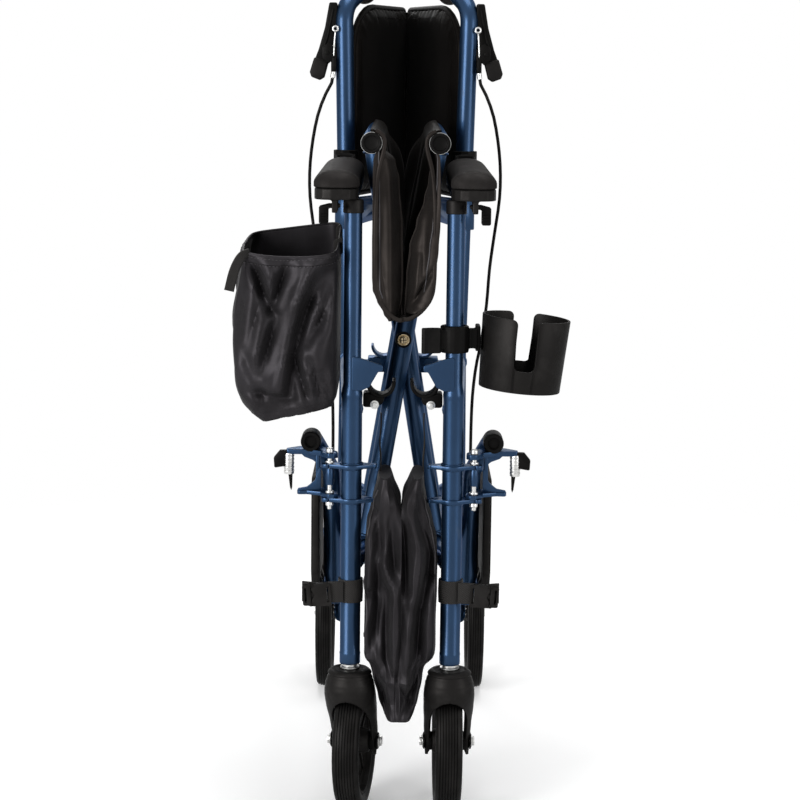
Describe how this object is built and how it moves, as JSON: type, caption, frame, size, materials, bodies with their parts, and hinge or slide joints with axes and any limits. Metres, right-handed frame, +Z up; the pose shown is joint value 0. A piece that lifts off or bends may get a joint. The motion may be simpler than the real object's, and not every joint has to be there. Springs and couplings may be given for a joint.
{
  "type": "folding rollator transport chair",
  "caption": "Folding walker and transport chair, stored folded, with loop brakes, flip-up armrests, swing-away footrests, seat bag, side bag and cup holder.",
  "frame": {"origin": "middle of the bounding box, on the floor under the wheels, with the chair folded", "axes": "+Z up, the chair faces -Y, +X is the side of the picture's right, which is the seated user's left"},
  "size_m": [0.3626, 0.6754, 0.9321],
  "materials": {
    "blue_paint": "glossy metallic blue paint",
    "black_plastic": "satin black moulded plastic",
    "soft_black": "soft matt black foam rubber",
    "black_cloth": "matt black woven nylon",
    "rubber": "matt dark grey rubber",
    "grey_plastic": "satin dark grey moulded plastic",
    "zinc": "bright zinc plated steel",
    "brass": "yellow passivated zinc on steel"
  },
  "bodies": {
    "left_frame": {"side_frame_left": "blue_paint", "hand_grip_left": "soft_black", "seat_saddle_front_left": "black_plastic", "armrest_collar_left": "black_plastic", "brake_housing_left": "black_plastic", "brake_cable_left": "rubber", "footrest_pin_left": "zinc", "side_bag": "black_cloth", "tie_strap_left": "soft_black"},
    "right_frame": {"side_frame_right": "blue_paint", "hand_grip_right": "soft_black", "seat_saddle_front_right": "black_plastic", "armrest_collar_right": "black_plastic", "brake_housing_right": "black_plastic", "brake_cable_right": "rubber", "footrest_pin_right": "zinc", "cup_holder": "black_plastic", "cup_clamp": "black_plastic", "tie_strap_right": "soft_black"},
    "brace_a": {"cross_brace_a": "blue_paint", "rail_plug_right": "black_plastic", "pivot_bolt_front": "brass", "pivot_bolt_rear": "brass"},
    "brace_b": {"cross_brace_b": "blue_paint", "rail_plug_left": "black_plastic"},
    "cup_lever": {"cup_clamp_lever": "black_plastic"},
    "seat_left_half": {"seat_left": "black_cloth"},
    "back_left": {"backrest_left": "black_cloth", "back_stretcher_left": "blue_paint"},
    "bag_left": {"under_seat_bag_left": "black_cloth"},
    "armrest_left": {"armrest_base_left": "black_plastic", "armrest_pad_left": "soft_black"},
    "arm_latch_left": {"armrest_latch_left": "black_plastic"},
    "footrest_left": {"footrest_hanger_left": "blue_paint"},
    "foot_plate_left": {"footplate_left": "grey_plastic"},
    "foot_latch_left": {"footrest_latch_left": "zinc"},
    "caster_left": {"caster_fork_left": "black_plastic"},
    "front_wheel_left": {"front_tyre_left": "rubber", "front_rim_left": "grey_plastic"},
    "rear_wheel_left": {"rear_tyre_left": "rubber", "rear_rim_left": "grey_plastic"},
    "lever_left": {"brake_lever_left": "black_plastic"},
    "shoe_left": {"brake_shoe_left": "black_plastic"},
    "seat_right_half": {"seat_right": "black_cloth"},
    "back_right": {"backrest_right": "black_cloth", "back_stretcher_right": "blue_paint"},
    "bag_right": {"under_seat_bag_right": "black_cloth"},
    "armrest_right": {"armrest_base_right": "black_plastic", "armrest_pad_right": "soft_black"},
    "arm_latch_right": {"armrest_latch_right": "black_plastic"},
    "footrest_right": {"footrest_hanger_right": "blue_paint"},
    "foot_plate_right": {"footplate_right": "grey_plastic"},
    "foot_latch_right": {"footrest_latch_right": "zinc"},
    "caster_right": {"caster_fork_right": "black_plastic"},
    "front_wheel_right": {"front_tyre_right": "rubber", "front_rim_right": "grey_plastic"},
    "rear_wheel_right": {"rear_tyre_right": "rubber", "rear_rim_right": "grey_plastic"},
    "lever_right": {"brake_lever_right": "black_plastic"},
    "shoe_right": {"brake_shoe_right": "black_plastic"}
  },
  "joints": [
    {"name": "fold", "type": "hinge", "parent": "left_frame", "child": "brace_a", "pos_m": [-0.03506, -0.29646, 0.288], "axis": [0, 1, 0], "range_deg": [0, 55.7]},
    {"name": "scissor", "type": "hinge", "parent": "brace_a", "child": "brace_b", "pos_m": [0.00375, -0.29646, 0.52241], "axis": [0, 1, 0], "range_deg": [-111.4, 0]},
    {"name": "right_side", "type": "hinge", "parent": "brace_b", "child": "right_frame", "pos_m": [0.04256, -0.29646, 0.288], "axis": [0, 1, 0], "range_deg": [0, 55.7]},
    {"name": "seat_fold_left", "type": "hinge", "parent": "brace_b", "child": "seat_left_half", "pos_m": [-0.03235, -0.29646, 0.74044], "axis": [0, 1, 0], "range_deg": [-8.9, 0]},
    {"name": "back_fold_left", "type": "hinge", "parent": "left_frame", "child": "back_left", "pos_m": [-0.06788, 0.10354, 0.64], "axis": [0, 0, 1], "range_deg": [-58, 0]},
    {"name": "bag_fold_left", "type": "hinge", "parent": "left_frame", "child": "bag_left", "pos_m": [-0.01999, -0.26296, 0.447], "axis": [0, 1, 0], "range_deg": [-31.2, 0]},
    {"name": "armrest_flip_left", "type": "hinge", "parent": "left_frame", "child": "armrest_left", "pos_m": [-0.06936, 0.04854, 0.69], "axis": [-1, 0, 0], "range_deg": [0, 88]},
    {"name": "armrest_latch_turn_left", "type": "hinge", "parent": "armrest_left", "child": "arm_latch_left", "pos_m": [-0.06975, -0.31246, 0.6715], "axis": [0, 1, 0], "range_deg": [0, 14], "stiffness_Nm_per_rad": 0.02, "springref_deg": -17.19},
    {"name": "footrest_swing_left", "type": "hinge", "parent": "left_frame", "child": "footrest_left", "pos_m": [-0.07395, -0.29646, 0.4176], "axis": [0, 0, 1], "range_deg": [0, 180]},
    {"name": "footplate_flip_left", "type": "hinge", "parent": "footrest_left", "child": "foot_plate_left", "pos_m": [-0.08575, -0.13846, 0.214], "axis": [0, -1, 0], "range_deg": [0, 90]},
    {"name": "footrest_latch_turn_left", "type": "hinge", "parent": "footrest_left", "child": "foot_latch_left", "pos_m": [-0.11575, -0.27596, 0.402], "axis": [0, -1, 0], "range_deg": [0, 15], "stiffness_Nm_per_rad": 0.05, "springref_deg": -17.19},
    {"name": "caster_swivel_left", "type": "hinge", "parent": "left_frame", "child": "caster_left", "pos_m": [-0.05075, -0.29646, 0], "axis": [0, 0, 1], "range_deg": [-4, 200]},
    {"name": "front_wheel_spin_left", "type": "hinge", "parent": "caster_left", "child": "front_wheel_left", "pos_m": [-0.04518, -0.25685, 0.076], "axis": [0.9903, -0.1392, 0], "continuous": true},
    {"name": "rear_wheel_spin_left", "type": "hinge", "parent": "left_frame", "child": "rear_wheel_left", "pos_m": [-0.09525, 0.23154, 0.1], "axis": [1, 0, 0], "continuous": true},
    {"name": "brake_squeeze_left", "type": "hinge", "parent": "left_frame", "child": "lever_left", "pos_m": [-0.07205, 0.10654, 0.834], "axis": [1, 0, 0], "range_deg": [0, 12], "stiffness_Nm_per_rad": 1, "springref_deg": -8.59},
    {"name": "brake_shoe_turn_left", "type": "hinge", "parent": "left_frame", "child": "shoe_left", "pos_m": [-0.09125, 0.17354, 0.22], "axis": [1, 0, 0], "range_deg": [0, 7]},
    {"name": "seat_fold_right", "type": "hinge", "parent": "brace_a", "child": "seat_right_half", "pos_m": [0.03985, -0.29646, 0.74044], "axis": [0, 1, 0], "range_deg": [0, 8.9]},
    {"name": "back_fold_right", "type": "hinge", "parent": "right_frame", "child": "back_right", "pos_m": [0.07538, 0.10354, 0.64], "axis": [0, 0, 1], "range_deg": [0, 58]},
    {"name": "bag_fold_right", "type": "hinge", "parent": "right_frame", "child": "bag_right", "pos_m": [0.02749, -0.26296, 0.447], "axis": [0, 1, 0], "range_deg": [0, 31.2]},
    {"name": "armrest_flip_right", "type": "hinge", "parent": "right_frame", "child": "armrest_right", "pos_m": [0.07686, 0.04854, 0.69], "axis": [-1, 0, 0], "range_deg": [0, 88]},
    {"name": "armrest_latch_turn_right", "type": "hinge", "parent": "armrest_right", "child": "arm_latch_right", "pos_m": [0.07725, -0.31246, 0.6715], "axis": [0, -1, 0], "range_deg": [0, 14], "stiffness_Nm_per_rad": 0.02, "springref_deg": -17.19},
    {"name": "footrest_swing_right", "type": "hinge", "parent": "right_frame", "child": "footrest_right", "pos_m": [0.08145, -0.29646, 0.4176], "axis": [0, 0, -1], "range_deg": [0, 180]},
    {"name": "footplate_flip_right", "type": "hinge", "parent": "footrest_right", "child": "foot_plate_right", "pos_m": [0.09325, -0.13846, 0.214], "axis": [0, 1, 0], "range_deg": [0, 90]},
    {"name": "footrest_latch_turn_right", "type": "hinge", "parent": "footrest_right", "child": "foot_latch_right", "pos_m": [0.12325, -0.27596, 0.402], "axis": [0, 1, 0], "range_deg": [0, 15], "stiffness_Nm_per_rad": 0.05, "springref_deg": -17.19},
    {"name": "caster_swivel_right", "type": "hinge", "parent": "right_frame", "child": "caster_right", "pos_m": [0.05825, -0.29646, 0], "axis": [0, 0, -1], "range_deg": [-11, 193]},
    {"name": "front_wheel_spin_right", "type": "hinge", "parent": "caster_right", "child": "front_wheel_right", "pos_m": [0.05755, -0.25646, 0.076], "axis": [0.9998, 0.0175, 0], "continuous": true},
    {"name": "rear_wheel_spin_right", "type": "hinge", "parent": "right_frame", "child": "rear_wheel_right", "pos_m": [0.10275, 0.23154, 0.1], "axis": [1, 0, 0], "continuous": true},
    {"name": "brake_squeeze_right", "type": "hinge", "parent": "right_frame", "child": "lever_right", "pos_m": [0.07955, 0.10654, 0.834], "axis": [1, 0, 0], "range_deg": [0, 12], "stiffness_Nm_per_rad": 1, "springref_deg": -8.59},
    {"name": "brake_shoe_turn_right", "type": "hinge", "parent": "right_frame", "child": "shoe_right", "pos_m": [0.09875, 0.17354, 0.22], "axis": [1, 0, 0], "range_deg": [0, 7]},
    {"name": "cup_lever_turn", "type": "hinge", "parent": "right_frame", "child": "cup_lever", "pos_m": [0.04025, -0.31246, 0.52], "axis": [0, 0, 1], "range_deg": [0, 52]}
  ],
  "couplings": [
    {"joint": "scissor", "follows": "fold", "ratio": -2},
    {"joint": "right_side", "follows": "fold", "ratio": 1},
    {"joint": "seat_fold_left", "follows": "fold", "ratio": -0.158},
    {"joint": "back_fold_left", "follows": "fold", "ratio": -1.04},
    {"joint": "bag_fold_left", "follows": "fold", "ratio": -0.56},
    {"joint": "brake_shoe_turn_left", "follows": "brake_squeeze_left", "ratio": 0.58},
    {"joint": "seat_fold_right", "follows": "fold", "ratio": 0.158},
    {"joint": "back_fold_right", "follows": "fold", "ratio": 1.04},
    {"joint": "bag_fold_right", "follows": "fold", "ratio": 0.56},
    {"joint": "brake_shoe_turn_right", "follows": "brake_squeeze_right", "ratio": 0.58}
  ]
}
